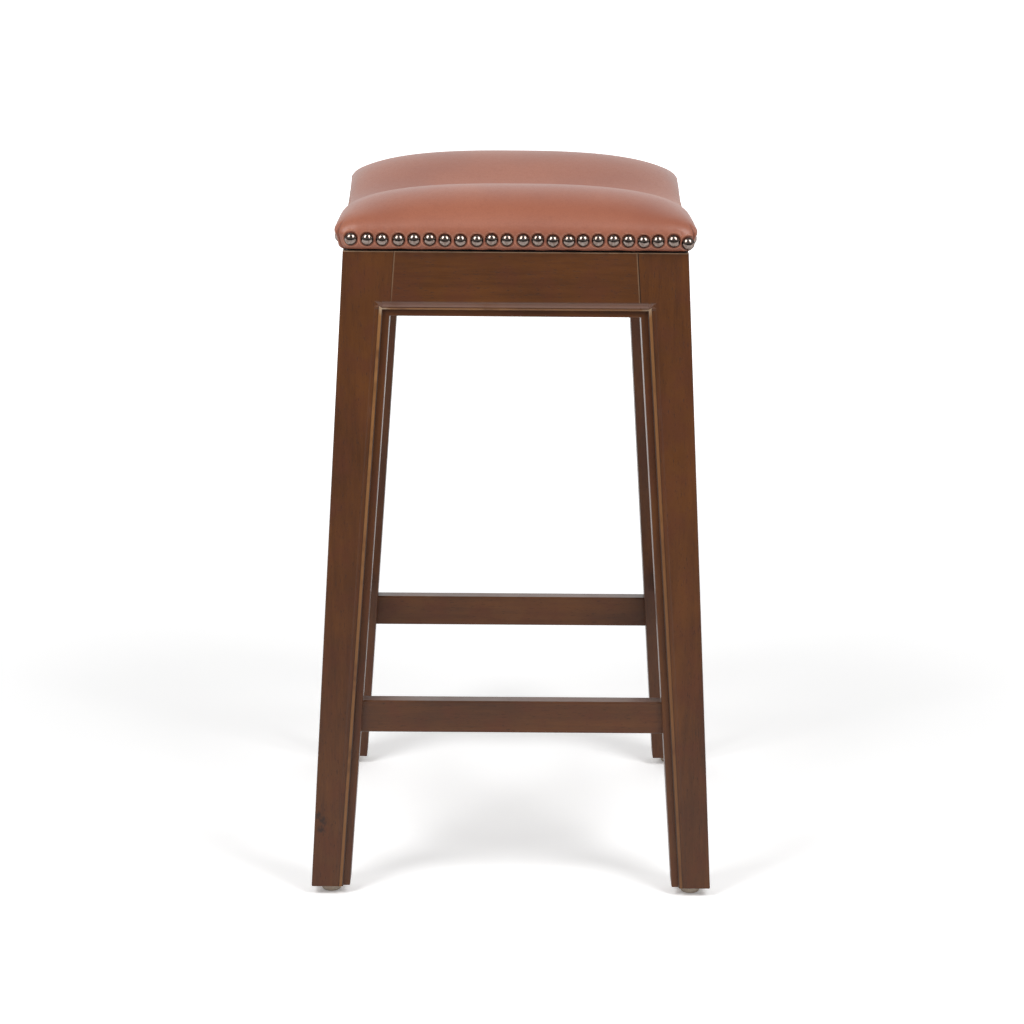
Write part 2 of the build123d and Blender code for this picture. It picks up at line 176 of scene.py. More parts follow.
STAIN_DARK, STAIN_LIGHT, STAIN_RED = paint(66, 33, 8), paint(98, 54, 14), paint(84, 36, 13)
# The dark colour is glaze in pores and knots, and painted shade in the moulding's hollows and beside a
# joint. The pale rubbed colour is worn wood on the bead, and a painted highlight on the joint line and
# the frame's top edge.
RUBBED, PALE_WEAR_AND_HIGHLIGHT, DARK_GLAZE_AND_SHADE = paint(150, 103, 56), paint(176, 150, 122), paint(24, 11, 6)
# Colours of a painted sheen in the hollow above the bead, and of a painted highlight on the band below
# it.
HOLLOW_SHEEN, ROSE_HIGHLIGHT = paint(124, 100, 92), paint(124, 86, 72)


def frame_wood(name, grain, knots=()):
    """Stained wood whose grain runs along one axis: long fibres, short pores and soft mottling.
    The rubbed bead follows the larger of the distances from the opening's two edges, which turns
    its line through a mitre where a leg meets an apron."""
    material, place = surface(name, {
        "IOR": 1.45, "Coat Weight": 0.15, "Coat Roughness": 0.2, "Coat IOR": 1.45})
    x, y, z = place.parts()
    half_width = FLOOR_WIDTH / 2 - z * ((FLOOR_WIDTH - TOP_WIDTH) / 2 / FRAME_HEIGHT)
    half_length = FLOOR_LENGTH / 2 - z * ((FLOOR_LENGTH - TOP_LENGTH) / 2 / FRAME_HEIGHT)
    leg = z * ((LEG_TOP_SIZE - LEG_FLOOR_SIZE) / FRAME_HEIGHT) + LEG_FLOOR_SIZE
    side_depth, end_depth = half_width - abs(x), half_length - abs(y)
    from_apron = z - (FRAME_HEIGHT - APRON_HEIGHT)

    run = {"x": (4, 60, 60), "y": (60, 4, 60), "z": (60, 60, 4)}[grain]
    pore_run = {"x": (36, 200, 200), "y": (200, 36, 200), "z": (200, 200, 36)}[grain]
    fibre = place.stretched(run, (0.3, 0.7, 0.2))
    broad = place.stretched([part * 0.2 for part in run], (1.1, 0.4, 0.9)).noise(1.0, 3, 0.5, 0.8)
    streak, thread = fibre.noise(2.6, 4, 0.6, 0.3), fibre.noise(11.0, 3, 0.65)
    pores = place.stretched(pore_run).noise(5.0, 2, 0.5).step(0.6, 0.74)
    mottle = place.noise(38.0, 2, 0.5)
    cloud = place.noise(11.0, 2, 0.5)

    tone = (broad * 0.5 + streak * 0.32 + thread * 0.18).step(0.36, 0.64)
    colour = (tone * 0.7 + cloud.step(0.35, 0.65) * 0.3).mix(STAIN_DARK, STAIN_LIGHT)
    colour = (mottle.step(0.42, 0.72) * 0.4).mix(colour, STAIN_RED)
    colour = (pores * 0.45).mix(colour, DARK_GLAZE_AND_SHADE)
    for middle, size in knots:
        away = place.make("VectorMath", {"operation": "DISTANCE"}, {0: place, 1: middle}, out=1)
        ragged = away + (place.noise(330.0, 3, 0.6) - 0.5) * (1.8 * size)
        colour = (ragged.step(size, size * 0.1) * 0.75).mix(colour, DARK_GLAZE_AND_SHADE)

    # Moulding: dark glaze and painted shade lie in its hollows, with a painted sheen in the hollow
    # above the bead and a painted highlight on the band below it, and the bead between them is rubbed
    # bright, on the aprons a little lower than on the legs. Above it is the plain face with the joint's
    # line, a painted highlight, and on the right-hand legs a painted shadow beside it.
    plain = from_apron.step(13 * MM, 15 * MM)
    wear = place.noise(26.0, 3, 0.6).step(0.22, 0.52)
    # Strength of the bead's pale line: stronger higher up the legs, and weaker on the right-hand side (x
    # > 0).
    bead_strength = (from_apron.step(-0.35, 0.0) * 0.35 + 0.5) * (1 - x.step(-0.01, 0.01) * 0.3)
    for across, depth in ((leg - side_depth, end_depth), (leg - end_depth, side_depth)):
        edge = across.above(from_apron)
        level = (from_apron - across).step(-1 * MM, 1 * MM)
        edge = edge + level * (0.8 * MM) - (1 - level) * (1.2 * MM)
        hollow, face = depth.step(3 * MM, 2 * MM), depth.step(1.2 * MM, 0.7 * MM)
        # Dark glaze with painted shade: a line at the step below the bead, and one at the bottom of the
        # hollow above it.
        step_glaze_and_shade = edge.band(BAND_WIDTH - 1.0 * MM, BAND_WIDTH, 0.4 * MM) * depth.step(7 * MM, 6 * MM)
        hollow_glaze_and_shade = edge.band(9.0 * MM, 9.8 * MM, 0.4 * MM) * hollow
        # Painted sheen: a pale grey band in the hollow above the bead.
        hollow_sheen = edge.band(10.4 * MM, 13.8 * MM, 0.8 * MM) * hollow * level
        # Painted highlight: a pinkish line on the band between the opening's edge and the bead.
        rose_highlight = edge.band(4.9 * MM, 6.3 * MM, 0.4 * MM) * depth.step(5 * MM, 4 * MM) * level
        bead = edge.band(BAND_WIDTH + 0.1 * MM, BAND_WIDTH + BEAD_WIDTH - 0.3 * MM, 0.5 * MM)
        bead = bead * depth.step(3.4 * MM, 2.4 * MM) * wear
        mitre = abs(across - from_apron).step(9 * MM, 1 * MM)
        # Painted highlight: a pale line along the joint between leg and apron.
        seam_highlight = across.band(-1.0 * MM, -0.1 * MM, 0.3 * MM) * face * plain * wear
        # Painted shadow: a dark line just past the joint, on the right-hand legs only (x > 0).
        gap = across.band(0.2 * MM, 0.7 * MM, 0.3 * MM) * face * plain * x.step(-0.01, 0.01)
        colour = ((step_glaze_and_shade * (1 - level) + hollow_glaze_and_shade * 0.5) * 0.6).mix(colour, DARK_GLAZE_AND_SHADE)
        colour = (hollow_sheen * (wear * 0.2 + 0.25)).mix(colour, HOLLOW_SHEEN)
        colour = (rose_highlight * 0.6).mix(colour, ROSE_HIGHLIGHT)
        colour = (bead * bead_strength).mix(colour, mitre.mix(RUBBED, PALE_WEAR_AND_HIGHLIGHT))
        colour = (seam_highlight * 0.22).mix(colour, PALE_WEAR_AND_HIGHLIGHT)
        # The joint's painted shadow.
        colour = (gap * 0.8).mix(colour, DARK_GLAZE_AND_SHADE)
    # Painted highlight: a pale line along the top edge of the frame, just under the seat.
    top_edge_highlight = from_apron.step(APRON_HEIGHT - 1.1 * MM, APRON_HEIGHT - 0.4 * MM)
    colour = (top_edge_highlight * (wear * 0.35 + 0.2)).mix(colour, PALE_WEAR_AND_HIGHLIGHT)

    feed(
        material, thread * 0.25 + streak * 0.35 - pores * 0.5 + mottle * 0.5, 0.2 * MM, 0.5,
        Base_Color=colour, Roughness=0.34 + 0.16 * mottle + 0.12 * pores,
    )
    return material


KNOT = Vector((-177.0, -223.0, 69.0)) * MM
knots = (
    (KNOT + Vector((0.5, 0, 2.5)) * MM, 5.8 * MM),
    (KNOT + Vector((-2.0, 0, -6.0)) * MM, 5.8 * MM),
    (KNOT + Vector((-4.4, 0, 7.5)) * MM, 5.0 * MM),
)
corners = ("front_left", "back_left", "front_right", "back_right")
dress(frame_wood("stained_wood_upright", "z", knots), *(corner + "_leg" for corner in corners))
dress(
    frame_wood("stained_wood_across", "x"),
    "left_apron", "right_apron", "left_stretcher", "right_stretcher",
)
dress(
    frame_wood("stained_wood_along", "y"),
    "front_apron", "back_apron", "front_stretcher", "back_stretcher",
)


# Corner blocks, dowels and the seat board.
# Plain hardwood and plywood, sawn and left bare inside the frame.

BARE, BARE_DARK, BARE_LIGHT = paint(172, 132, 92), paint(140, 100, 64), paint(196, 160, 120)


def bare_wood(name, run):
    """Unfinished wood: pale early wood, darker late-wood lines and short flecks along the grain,
    which is long on the axis whose number in run is small."""
    material, place = surface(name, {"IOR": 1.45})
    fibre = place.stretched(run, (0.2, 0.5, 0.8))
    line, thread = fibre.noise(2.2, 3, 0.55, 0.4), fibre.noise(13.0, 2, 0.6)
    flecks = place.stretched([part * 6 for part in run]).noise(3.0, 1, 0.5).step(0.62, 0.7)
    colour = line.step(0.3, 0.7).mix(BARE_DARK, BARE_LIGHT)
    colour = (thread * 0.5).mix(colour, BARE)
    colour = (flecks * 0.35).mix(colour, BARE_DARK)
    feed(material, thread + line, 0.25 * MM, 0.5, Base_Color=colour, Roughness=0.62 + 0.2 * thread)
    return material


blocks = [corner + "_corner_block" for corner in corners]
dress(bare_wood("bare_wood_along", (40, 3, 40)), "stretcher_dowels", *blocks)
dress(bare_wood("bare_wood_across", (3, 40, 40)), "apron_dowels")
dress(bare_wood("bare_plywood", (30, 30, 900)), "seat_board")


# Screws, glide nails and staples.
# Zinc-plated steel as it comes: greyish, faintly brushed and a little uneven in its shine.

zinc, place = surface("zinc_plated_steel", {"Metallic": 1.0})
brushed, cloudy = place.stretched((300, 300, 40)).noise(3.0, 3, 0.6), place.noise(160.0, 2, 0.5)
feed(
    zinc, brushed, 0.1 * MM, 0.4,
    Base_Color=cloudy.step(0.35, 0.65).mix(paint(150, 150, 152), paint(192, 192, 190)),
    Roughness=0.3 + 0.2 * brushed + 0.1 * cloudy,
)
dress(zinc, "corner_block_screws", "seat_screws", "staples", "glide_nails")


# Four nail-on glides.
# Moulded beige-brown plastic with a rounded rim, scuffed a little darker where it meets the floor.

plastic, place = surface("beige_plastic", {"IOR": 1.48})
flow = place.noise(140.0, 3, 0.55)
scuff = place.stretched((500, 500, 160)).noise(1.6, 3, 0.6).step(0.5, 0.7)
low = place.parts()[2].step(2.2 * MM, 0.2 * MM)
colour = flow.step(0.3, 0.7).mix(paint(196, 178, 158), paint(218, 204, 186))
colour = ((low * 0.6 + 0.1) * scuff).mix(colour, paint(92, 72, 58))
feed(
    plastic, flow * 0.4 + scuff * 0.3, 0.12 * MM, 0.5,
    Base_Color=colour, Roughness=0.42 + 0.2 * scuff + 0.1 * flow,
)
dress(plastic, *(corner + "_glide" for corner in corners))


# Dust cloth under the seat.
# Black non-woven cloth with bonded dots, cut to the frame's top and stapled to the seat board, so
# that it hangs a little slack between the staples.

CLOTH_TOP, CLOTH_WALL, CLOTH_SLACK = FRAME_HEIGHT + 0.6 * MM, 0.35 * MM, 3.2 * MM
CLOTH_WIDTH, CLOTH_LENGTH = TOP_WIDTH - 3.0 * MM, TOP_LENGTH - 3.0 * MM
STAPLE_X, STAPLE_Y = 136.0 * MM, 167.5 * MM
CLOTH_ROWS, CLOTH_COLUMNS = 81, 97


def grid_faces(rows, columns, closed=False):
    """The quads of a grid of points in rows; closed joins each row's end to its start."""
    wrap = columns if closed else columns - 1
    row, column = np.meshgrid(np.arange(rows - 1), np.arange(wrap), indexing="ij")
    after, start = (column + 1) % columns, row * columns
    faces = [start + column, start + columns + column, start + columns + after, start + after]
    return np.stack(faces, axis=-1).reshape(-1, 4)


def smooth_piece(name, points, faces, material):
    """A smooth-shaded mesh object at the origin."""
    mesh = bpy.data.meshes.new(name)
    mesh.from_pydata(points.tolist(), [], faces)
    mesh.polygons.foreach_set("use_smooth", np.ones(len(mesh.polygons), dtype=bool))
    mesh.materials.append(material)
    mesh.update()
    piece = bpy.data.objects.new(name, mesh)
    bpy.context.scene.collection.objects.link(piece)
    return piece


def slack_cloth():
    """A flat grid that drops inside the staples' line by the root of two sines across the cloth,
    with shallow creases that run in from the staples."""
    across, along = np.linspace(-0.5, 0.5, CLOTH_ROWS), np.linspace(-0.5, 0.5, CLOTH_COLUMNS)
    x = across[:, None] * CLOTH_WIDTH + np.zeros((1, CLOTH_COLUMNS))
    y = np.zeros((CLOTH_ROWS, 1)) + along[None, :] * CLOTH_LENGTH
    inside_x = np.clip((STAPLE_X - abs(x)) / STAPLE_X, 0, 1)
    inside_y = np.clip((STAPLE_Y - abs(y)) / STAPLE_Y, 0, 1)
    drop = np.sqrt(np.sin(inside_x * np.pi / 2) * np.sin(inside_y * np.pi / 2))
    inside = np.minimum(inside_x, inside_y)
    crease = 1 + np.sin(np.arctan2(y, x) * 26 + 1.5 * np.sin(x * 40))
    crease = crease * np.exp(-(((inside - 0.16) / 0.1) ** 2))
    z = CLOTH_TOP - CLOTH_WALL / 2 - CLOTH_SLACK * drop - 0.4 * MM * crease * (inside > 0)
    return np.stack([x, y, z], axis=-1).reshape(-1, 3)


black, place = surface("black_cloth", {"IOR": 1.4, "Sheen Weight": 0.25, "Sheen Roughness": 0.6})
dots = place.stretched((1, 1, 0)).cells(520.0, randomness=0.25).step(0.16, 0.3)
fibres = place.noise(900.0, 2, 0.6)
feed(
    black, dots + fibres * 0.4, 0.2 * MM, 0.6,
    Base_Color=(dots * 0.6 + fibres * 0.4).mix(paint(12, 12, 13), paint(38, 38, 40)),
    Roughness=0.75 + 0.2 * fibres,
)
cloth_faces = grid_faces(CLOTH_ROWS, CLOTH_COLUMNS).tolist()
dust_cloth = smooth_piece("dust_cloth", slack_cloth(), cloth_faces, black)
wall = dust_cloth.modifiers.new("wall", "SOLIDIFY")
wall.thickness, wall.offset = CLOTH_WALL, 0
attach(dust_cloth, "root")
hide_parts("dust_cover")


# Leather seat.
# Smooth cognac leather over a foam saddle: crowned across, dished along and rolled down at the
# ends. It is drawn in along the nails, folded once at each corner and turned under the board.

SEAT_WIDTH, SEAT_LENGTH = TOP_WIDTH + 12.5 * MM, TOP_LENGTH + 11.5 * MM
SEAT_WAIST, CORNER_RADIUS = 3.5 * MM, 12.0 * MM
SEAT_BOTTOM = FRAME_HEIGHT + 0.8 * MM
CREST_PLACE, CREST_HEIGHT, SEAT_DIP = SEAT_LENGTH / 2 - 66.0 * MM, 53.2 * MM, 26.0 * MM
BULGE, TUCK = 14.2 * MM, 8.0 * MM
CROWN_POWER, WALL_POWER = 2.6, 2.6
NAIL_HEIGHT, NAIL_WANDER, HEAD_RADIUS = 10.5 * MM, 0.45 * MM, 5.9 * MM
END_NAILS, SIDE_NAILS, NAIL_SEAT = 23, 26, 0.25 * MM
END_RECESS, SIDE_RECESS = 1.2 * MM, 2.2 * MM
PRESSED, PRESSED_SOFT, RAISED = 7.8 * MM, 1.6 * MM, 7.6 * MM
FOLD_PLACE, FOLD_LEAN, FOLD_TOP = -3.2 * MM, 0.04, 26 * MM
CORNER_FULLNESS, DRAW_REACH, UNDER_REACH = 1.6 * MM, 20 * MM, 20 * MM
AROUND, OVER, DOWN, UNDER, SHAPED = 1380, 40, 26, 5, 27
SIDE_STEPS, TURN_STEPS, END_STEPS = 900, 200, 800


def bell(value, middle, width):
    return np.exp(-(((value - middle) / width) ** 2))


def ease(value):
    """0 below 0, 1 above 1 and smooth between."""
    value = np.clip(value, 0, 1)
    return value * value * (3 - 2 * value)


def seat_half_width(y):
    """Half the seat's width at y: drawn in at the waist by a squared cosine, and rounded with a
    quarter circle at the corners."""
    wide = SEAT_WIDTH / 2 - SEAT_WAIST * np.cos(np.pi * y / SEAT_LENGTH) ** 2
    over = np.maximum(abs(y) - (SEAT_LENGTH / 2 - CORNER_RADIUS), 0)
    return wide - CORNER_RADIUS + np.sqrt(np.maximum(CORNER_RADIUS**2 - over**2, 0))


def nail_line(count, length, shift, bow, last_drop):
    """Distance along the side and height of each nail: even steps, a shallow bow, and a small
    wander from the sine and cosine of powers of the nail's number."""
    k = np.arange(count)
    share = 2 * k / (count - 1) - 1
    along = length / 2 * share + shift - bow * share**2 + NAIL_WANDER * np.sin(k**2)
    height = SEAT_BOTTOM + NAIL_HEIGHT + NAIL_WANDER * np.cos(k**3)
    return along, height - last_drop * (k == count - 1)


end_along, end_height = nail_line(END_NAILS, SEAT_WIDTH - 21.5 * MM, 6.2 * MM, 2.95 * MM, 1.6 * MM)
side_along, side_height = nail_line(SIDE_NAILS, SEAT_LENGTH - 42.0 * MM, 0, 0, 0)
end_face = np.full(END_NAILS, -(SEAT_LENGTH / 2 - END_RECESS + NAIL_SEAT))
side_face = -(seat_half_width(side_along) - SIDE_RECESS + NAIL_SEAT)
end_nails = np.stack([end_along, end_face, end_height], axis=-1)
side_nails = np.stack([side_face, side_along, side_height], axis=-1)
half_turn = np.array([-1, -1, 1])
nail_rows = {
    "left": (end_nails, np.array([0.0, -1.0, 0.0])),
    "right": (end_nails * half_turn, np.array([0.0, 1.0, 0.0])),
    "front": (side_nails, np.array([-1.0, 0.0, 0.0])),
    "back": (side_nails * half_turn, np.array([1.0, 0.0, 0.0])),
}


def outline():
    """Points round the seat at its widest, each with its distance from the middle of its corner:
    one quarter from the middle of a long side to the middle of an end, closer together near the
    corner, then mirrored."""
    flat = SEAT_LENGTH / 2 - CORNER_RADIUS
    wide = seat_half_width(flat) - CORNER_RADIUS
    side, end = np.linspace(0, flat, SIDE_STEPS), np.linspace(1, 0, END_STEPS)[1:]
    turn = np.linspace(0, np.pi / 2, TURN_STEPS + 1)[1:]
    x = np.concatenate([seat_half_width(side), wide + CORNER_RADIUS * np.cos(turn), wide * end])
    y = np.concatenate([side, flat + CORNER_RADIUS * np.sin(turn), end * 0 + SEAT_LENGTH / 2])
    run = np.concatenate([[0], np.cumsum(np.hypot(np.diff(x), np.diff(y)))])
    run -= run[SIDE_STEPS - 1 + TURN_STEPS // 2]
    crowding = 1 / (0.4 * MM + 0.8 * MM * (1 - bell(run, 0, 16 * MM)))
    amount = np.concatenate([[0], np.cumsum((crowding[1:] + crowding[:-1]) / 2 * np.diff(run))])
    chosen = np.interp(np.linspace(0, amount[-1], AROUND // 4 + 1), amount, run)
    quarter = np.stack([np.interp(chosen, run, x), np.interp(chosen, run, y), chosen], axis=-1)
    half = np.concatenate([quarter[:-1], (quarter[::-1] * [-1, 1, 1])[:-1]])
    return np.concatenate([half, half * [-1, -1, 1]])


def leather_form():
    """Rings from the middle of the top out to the widest line, down the wall and in under the
    board, and for each point a painted shade: how deep it lies in a crease, and below 0 a
    painted highlight where the leather is stretched.
    Top: the bulge's height plus crown(y) times the superellipse of x over the half width, where
    crown is the crest less a cosine dip between the crests and a quarter ellipse past them.
    Wall: a superelliptic quarter turn. Then each point of the wall and the shoulder moves in or
    out: in along the nails and under each head, out above them, in waves along the hem, and over
    its neighbour in one fold at each corner."""
    x0, y0, corner = outline().T
    out = np.stack([np.roll(y0, -1) - np.roll(y0, 1), np.roll(x0, 1) - np.roll(x0, -1)], axis=-1)
    out /= np.linalg.norm(out, axis=1)[:, None]

    share = np.linspace(0, 1, OVER + 1)[1:]
    spread = np.cos(np.pi / 2 * (1 - share) ** 1.35) ** 0.8
    x, y = spread[:, None] * x0, spread[:, None] * y0
    rise = (1 - np.minimum(abs(x) / seat_half_width(y), 1) ** CROWN_POWER) ** (1 / CROWN_POWER)
    past = np.clip((abs(y) - CREST_PLACE) / (SEAT_LENGTH / 2 - CREST_PLACE), 0, 1)
    between = np.clip(abs(y) / CREST_PLACE, 0, 1)
    crown = (CREST_HEIGHT - BULGE) * np.sqrt(1 - past**2)
    crown -= SEAT_DIP * (1 + np.cos(np.pi * between)) / 2
    top = np.stack([x, y, SEAT_BOTTOM + BULGE + crown * rise], axis=-1)

    turn = np.linspace(0, 1, DOWN + 1)[1:] ** 0.9
    reach = np.linspace(0, 1, UNDER + 1)[1:]
    inward = np.concatenate([
        TUCK * (1 - (1 - turn**WALL_POWER) ** (1 / WALL_POWER)),
        TUCK + UNDER_REACH * reach,
    ])
    level = np.concatenate([BULGE * (1 - turn), 2.0 * MM * (reach == 1)]) + SEAT_BOTTOM
    below = np.stack([
        x0 - out[:, 0] * inward[:, None],
        y0 - out[:, 1] * inward[:, None],
        np.broadcast_to(level[:, None], (DOWN + UNDER, AROUND)),
    ], axis=-1)
    rings = np.concatenate([top, below])

    shape = rings[OVER - SHAPED : OVER + DOWN]
    height = shape[..., 2] - SEAT_BOTTOM
    offset = (shape[..., 0] - x0) * out[:, 0] + (shape[..., 1] - y0) * out[:, 1]
    shoulder = np.concatenate([ease((spread[-SHAPED:] - 0.7) / 0.25), np.ones(DOWN)])[:, None]
    recess = END_RECESS + (SIDE_RECESS - END_RECESS) * out[:, 0] ** 2
    near = bell(corner, 0, 9 * MM)
    moved = offset - recess * bell(height, 9.0 * MM, 5.6 * MM) * shoulder
    moved += 1.0 * MM * bell(height, 22 * MM, 8 * MM) * shoulder
    full = bell(corner, 0, 28 * MM) * bell(height, 27 * MM, 9 * MM) * shoulder
    moved += CORNER_FULLNESS * full

    # One fold at each corner: the side's leather lies over the end's and fades back into it
    fold = FOLD_PLACE + FOLD_LEAN * height
    beside = np.maximum(fold - corner, 0)
    low = ease((FOLD_TOP - height) / (7 * MM))
    groove = bell(corner, fold + 0.7 * MM, 0.8 * MM) * low
    moved += 1.2 * MM * ease(beside / (0.8 * MM)) * bell(beside, 0, 12 * MM) * low
    moved -= 1.0 * MM * groove

    # Nails: pressed flat under each head, raised round it and drawn up above it
    gap, draw = np.ones(shape.shape[:2]), np.zeros(shape.shape[:2])
    for nail in np.concatenate([places for places, way in nail_rows.values()]):
        aside = np.hypot(shape[..., 0] - nail[0], shape[..., 1] - nail[1])
        up = shape[..., 2] - nail[2]
        gap = np.minimum(gap, np.hypot(aside, up))
        climb = np.clip(up / DRAW_REACH, 0, 1)
        draw += bell(aside, 0, 3.6 * MM) * climb * (1 - climb) ** 2 * 6.75
    moved -= 0.45 * MM * draw
    held = ease((PRESSED - gap) / PRESSED_SOFT)
    moved += held * (np.minimum(moved, -recess - 0.15 * MM) - moved)
    moved += 0.45 * MM * bell(gap, RAISED, 0.8 * MM)

    # Hem: a wavy turned edge that curls in at the corners and dips to the wood
    edge = np.clip(1 - height / (6 * MM), 0, 1) ** 2
    angle = np.arctan2(y0, x0)
    wave = np.sin(41 * angle + 2 * np.sin(7 * angle)) + 0.6 * np.sin(67 * angle + 1.3)
    moved += 0.3 * MM * wave * edge - 4.0 * MM * near * np.clip(1 - height / (10 * MM), 0, 1) ** 1.5
    shape[..., 2] += CORNER_FULLNESS * full + (0.3 * MM * wave + 1.0 * MM - 1.3 * MM * near) * edge
    shape[..., :2] += out * (moved - offset)[..., None]

    # Painted shade in the fold's groove, in a ring round each nail head and along the hem. Below 0, a
    # painted highlight on the stretched ring just outside each head.
    crease = np.zeros(rings.shape[:2])
    crease[OVER - SHAPED : OVER + DOWN] = np.maximum.reduce([
        groove, 0.6 * bell(gap, 6.0 * MM, 0.8 * MM), edge * 0.5]) - 0.8 * bell(gap, 7.3 * MM, 0.6 * MM)
    return rings, crease


def closed_skin(rings, top, bottom):
    """The rings joined into one closed skin, with a fan of triangles at its two ends."""
    count, around = rings.shape[:2]
    points = np.concatenate([rings.reshape(-1, 3), [top, bottom]])
    ring = np.arange(around)
    after, start = (ring + 1) % around, (count - 1) * around
    fans = np.stack([
        np.stack([ring, after, ring * 0 + count * around], axis=-1),
        np.stack([start + after, start + ring, ring * 0 + count * around + 1], axis=-1),
    ])
    return points, grid_faces(count, around, closed=True).tolist() + fans.reshape(-1, 3).tolist()


# LEATHER_SHADE darkens the grain's wrinkles, and is the painted shade in creases.
LEATHER, LEATHER_DEEP, LEATHER_SHADE = paint(156, 91, 65), paint(142, 79, 56), paint(98, 48, 34)
# Colour of a painted highlight on the stretched ring round each nail head.
LEATHER_RING_HIGHLIGHT = paint(204, 140, 112)
hide, place = surface("cognac_leather", {
    "IOR": 1.55, "Coat Weight": 0.2, "Coat Roughness": 0.22})
grain, wrinkles = place.cells(1100.0), place.cells(420.0, "DISTANCE_TO_EDGE", 0.9).step(0.0, 0.1)
tone, speck = place.noise(9.0, 3, 0.5), place.noise(240.0, 3, 0.55)
crease_shade = place.make("Attribute", {"attribute_name": "crease"}, out="Fac")
stretched, crease_shade = (crease_shade * -1).above(0), crease_shade.above(0)
colour = tone.step(0.3, 0.7).mix(LEATHER_DEEP, LEATHER)
colour = (speck.step(0.46, 0.74) * 0.3).mix(colour, LEATHER_DEEP)
colour = ((1 - wrinkles) * 0.16).mix(colour, LEATHER_SHADE)
# Painted shade where the crease attribute is above 0.
colour = (crease_shade * (0.5 + 0.5 * speck)).mix(colour, LEATHER_SHADE)
# Painted highlight where the crease attribute is below 0, on the stretched ring round each nail.
colour = (stretched * 0.7).mix(colour, LEATHER_RING_HIGHLIGHT)
feed(
    hide, grain * 0.45 + wrinkles * 0.5 + speck * 0.5, 0.11 * MM, 0.5,
    Base_Color=colour, Roughness=0.43 + 0.1 * speck + 0.06 * tone + 0.1 * crease_shade,
)

rings, crease = leather_form()
crest = (0, 0, SEAT_BOTTOM + CREST_HEIGHT - SEAT_DIP)
points, faces = closed_skin(rings, crest, (0, 0, SEAT_BOTTOM + 2.0 * MM))
leather_seat = smooth_piece("leather_seat", points, faces, hide)
depth = leather_seat.data.attributes.new("crease", "FLOAT", "POINT")
depth.data.foreach_set("value", np.append(crease.ravel(), [0, 0]).astype(np.float32))
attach(leather_seat, "root")
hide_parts("leather_cover", "foam_pad")


# Domed nails.
# Pressed steel heads with a dark antique bronze finish, bright on the dome; the rolled rim is
# darkened by the finish and by painted shade. They are driven by hand, so each sits a little off its
# line.

HEAD_HEIGHT, HEAD_AROUND = 3.7 * MM, 28


def nail_head():
    """Radius and height along a head's profile: a circular arc from the crown to the rim, a small
    roll, and in underneath."""
    ball = (HEAD_HEIGHT**2 + HEAD_RADIUS**2) / (2 * HEAD_HEIGHT)
    lean = np.linspace(0.08, 1, 11) * np.arcsin((HEAD_RADIUS - 0.25 * MM) / ball)
    rim = np.array([[-0.02, 0.1], [0, -0.1], [-0.1, -0.3], [-1.2, -0.42]]) * MM
    radius = np.concatenate([ball * np.sin(lean), HEAD_RADIUS + rim[:, 0]])
    height = np.concatenate([HEAD_HEIGHT - ball * (1 - np.cos(lean)), rim[:, 1]])
    return radius, height


def nail_heads(name, places, way):
    """A row of heads: the profile turned about the way they face, copied to each place."""
    radius, height = nail_head()
    turn = np.arange(HEAD_AROUND) / HEAD_AROUND * 2 * np.pi
    ring = np.cos(turn)[:, None] * np.cross([0, 0, 1], way) + np.sin(turn)[:, None] * np.array([0, 0, 1])
    head = radius[:, None, None] * ring + height[:, None, None] * way
    points, faces = closed_skin(head, HEAD_HEIGHT * way, -0.5 * MM * way)
    count = len(points)
    faces = [[corner + k * count for corner in face] for k in range(len(places)) for face in faces]
    piece = smooth_piece(name, (places[:, None] + points).reshape(-1, 3), faces, bronze)
    rim = np.append(np.repeat(radius, HEAD_AROUND), [0, 0]) / HEAD_RADIUS
    attribute = piece.data.attributes.new("from_axis", "FLOAT", "POINT")
    attribute.data.foreach_set("value", np.tile(rim, len(places)).astype(np.float32))
    return piece


bronze, place = surface("antique_bronze", {"Metallic": 1.0})
radial = place.make("Attribute", {"attribute_name": "from_axis"}, out="Fac")
blotch, fine = place.noise(420.0, 4, 0.6).step(0.36, 0.66), place.noise(2600.0, 2, 0.5)
colour = blotch.mix(paint(124, 106, 97), paint(156, 144, 137))
# The antique finish with painted shade: the rolled rim darkens almost to black.
colour = (radial.step(0.86, 0.98) * 0.85).mix(colour, paint(34, 18, 12))
feed(
    bronze, blotch + fine * 0.3, 0.04 * MM, 0.3,
    Base_Color=colour, Roughness=0.12 + 0.06 * blotch + 0.2 * radial.step(0.85, 1.0),
)
for side, (places, way) in nail_rows.items():
    heads = nail_heads(side + "_nail_heads", places, way)
    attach(heads, "root")
    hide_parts(side + "_nails")


# Studio: a pale floor, a surround that is dim in front and bright behind, and two soft lamps.
# The floor is as pale in reflections and through glass as to the camera, and keeps the stool's
# shadow; only in reflections it fades to black towards the camera, as in a dark room.

FLOOR_REACH = 30
DARK_START, DARK_END = -0.6, -2.3
LAMP_TURN, LAMP_RISE, LAMP_DISTANCE = 42, 42, 2.6
LAMP_SIZE, LAMP_POWER = (0.95, 1.5), 37

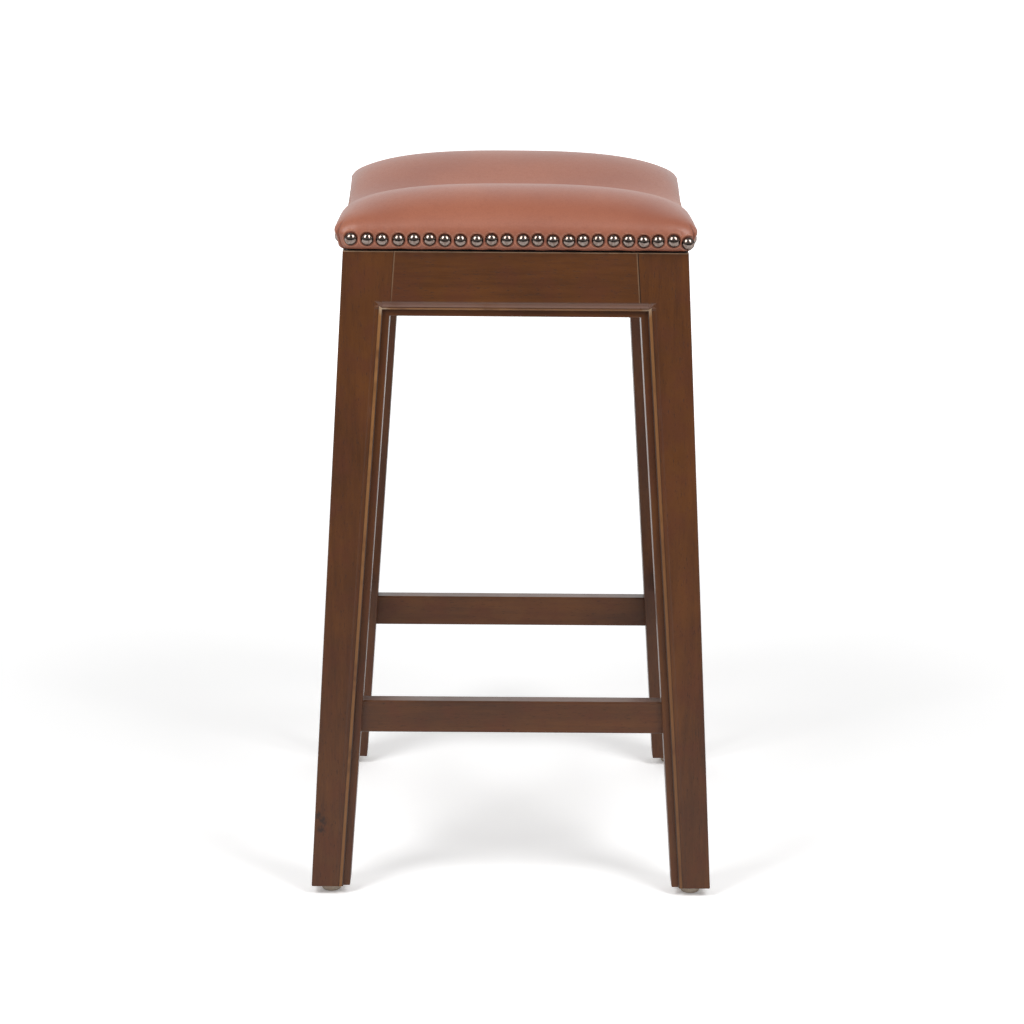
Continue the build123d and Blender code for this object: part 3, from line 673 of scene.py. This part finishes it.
floor_finish, place = surface("pale_floor", {"Roughness": 0.9, "Emission Strength": 1.0})
camera_ray, glossy_ray, clear_ray = (
    place.make("LightPath", out=kind)
    for kind in ("Is Camera Ray", "Is Glossy Ray", "Is Transmission Ray")
)
seen = camera_ray.above(glossy_ray).above(clear_ray)
lit = place.parts()[1].step(DARK_END, DARK_START) * glossy_ray + (1 - glossy_ray)
shade = (lit * (camera_ray * 0.2 + 0.8)).mix((0, 0, 0, 1), (1, 1, 1, 1))
far = place.make("VectorMath", {"operation": "LENGTH"}, {0: place}, out=1).step(0.5, 3.0)
feed(
    floor_finish, place.noise(30.0), 0.1 * MM, 0.1,
    Base_Color=shade, Emission_Color=seen * lit * (far * 0.7 + 0.22),
)
floor_corners = np.array([(-1, -1, 0), (1, -1, 0), (1, 1, 0), (-1, 1, 0)]) * FLOOR_REACH
floor = smooth_piece("floor", floor_corners, [(0, 1, 2, 3)], floor_finish)
floor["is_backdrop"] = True

world = bpy.data.worlds.new("surround")
bpy.context.scene.world = world
world.use_nodes = True
start = Flow(world.node_tree)
behind = start.make("TexCoord", out="Generated").parts()[1].step(0.15, 0.9)
camera_ray, glossy_ray, clear_ray = (
    start.make("LightPath", out=kind)
    for kind in ("Is Camera Ray", "Is Glossy Ray", "Is Transmission Ray")
)
seen = camera_ray.above(clear_ray).above(glossy_ray * behind)
strength = (behind * 0.95 + 0.25).above(seen)
world.node_tree.links.new(strength.socket, world.node_tree.nodes["Background"].inputs["Strength"])
world.node_tree.nodes["Background"].inputs["Color"].default_value = (1, 1, 1, 1)


def lamp(name, azimuth):
    """A soft lamp that faces the seat from an azimuth, which is 0 at the camera's side."""
    data = bpy.data.lights.new(name, "AREA")
    data.shape, data.size, data.size_y, data.energy = "RECTANGLE", *LAMP_SIZE, LAMP_POWER
    turn, rise = np.radians(azimuth), np.radians(LAMP_RISE)
    away = Vector((np.sin(turn) * np.cos(rise), -np.cos(turn) * np.cos(rise), np.sin(rise)))
    piece = bpy.data.objects.new(name, data)
    piece.location = Vector((0, 0, 0.5)) + away * LAMP_DISTANCE
    piece.rotation_euler = away.to_track_quat("Z", "Y").to_euler()
    piece.visible_camera = False
    bpy.context.scene.collection.objects.link(piece)


lamp("lamp_left", -LAMP_TURN)
lamp("lamp_right", LAMP_TURN)


# Camera of the photograph, 3.3 m from the stool's middle on its left end's side and 1.07 m high.
# Its place, angles and lens were fitted to the photograph's edges together with the stool's main
# lines; its distance and pitch rest on the assumed length of the stool.

CAMERA_PLACE = Vector((-15.652, -3296.336, 1070.401)) * MM
PITCH, YAW, ROLL = np.radians(12.847), np.radians(0.26), np.radians(-0.457)
SENSOR_WIDTH, LENS = 36, 120.56
ahead = Vector((np.sin(YAW) * np.cos(PITCH), np.cos(YAW) * np.cos(PITCH), -np.sin(PITCH)))
level = Vector((np.cos(YAW), -np.sin(YAW), 0))
down = ahead.cross(level)
image_right = np.cos(ROLL) * level + np.sin(ROLL) * down
image_down = -np.sin(ROLL) * level + np.cos(ROLL) * down
camera_data = bpy.data.cameras.new("camera")
camera_data.sensor_width, camera_data.lens = SENSOR_WIDTH, LENS
camera = bpy.data.objects.new("camera", camera_data)
turned = Matrix((image_right, -image_down, -ahead)).transposed().to_4x4()
camera.matrix_world = Matrix.Translation(CAMERA_PLACE) @ turned
bpy.context.scene.collection.objects.link(camera)
bpy.context.scene.camera = camera
bpy.context.scene.view_settings.view_transform = "Standard"

low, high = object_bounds()
